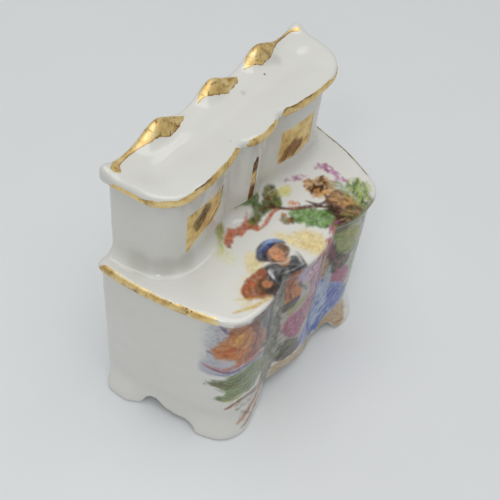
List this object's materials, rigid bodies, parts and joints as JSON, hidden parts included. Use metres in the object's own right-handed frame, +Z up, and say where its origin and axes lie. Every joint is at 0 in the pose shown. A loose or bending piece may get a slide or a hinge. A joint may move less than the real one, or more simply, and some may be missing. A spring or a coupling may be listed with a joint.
{
  "type": "miniature porcelain sideboard",
  "caption": "Dolls' house sideboard in glazed porcelain: bowed front, splayed bracket feet, narrow upper cabinet and crested cornice, gilded and transfer printed.",
  "frame": {"origin": "on the floor under the middle of the bounding box", "axes": "+Z up, the flat back faces +Y, the bowed front faces -Y, +X to the right when facing the front"},
  "size_m": [0.0426, 0.0217, 0.0472],
  "materials": {
    "porcelain": "glossy cream-white glaze with softened edges and pinholes",
    "gilt": "worn burnished gilding, brushed on by hand",
    "transfer": "many-coloured pastoral transfer print under a gloss"
  },
  "bodies": {
    "root": {"lower_cabinet": "porcelain", "serving_shelf": "porcelain", "upper_cabinet": "porcelain", "crested_cornice": "porcelain", "gilt_crest_left": "gilt", "gilt_crest_middle": "gilt", "gilt_crest_right": "gilt", "gilt_rim_left": "gilt", "gilt_rim_middle": "gilt", "gilt_rim_right": "gilt", "gilt_door_left": "gilt", "gilt_door_right": "gilt", "gilt_slot": "gilt", "gilt_shelf_edge_left": "gilt", "gilt_shelf_edge_right": "gilt", "transfer_shelf": "transfer", "transfer_left_bay": "transfer", "transfer_middle_bay": "transfer", "transfer_right_bay": "transfer"}
  },
  "joints": []
}
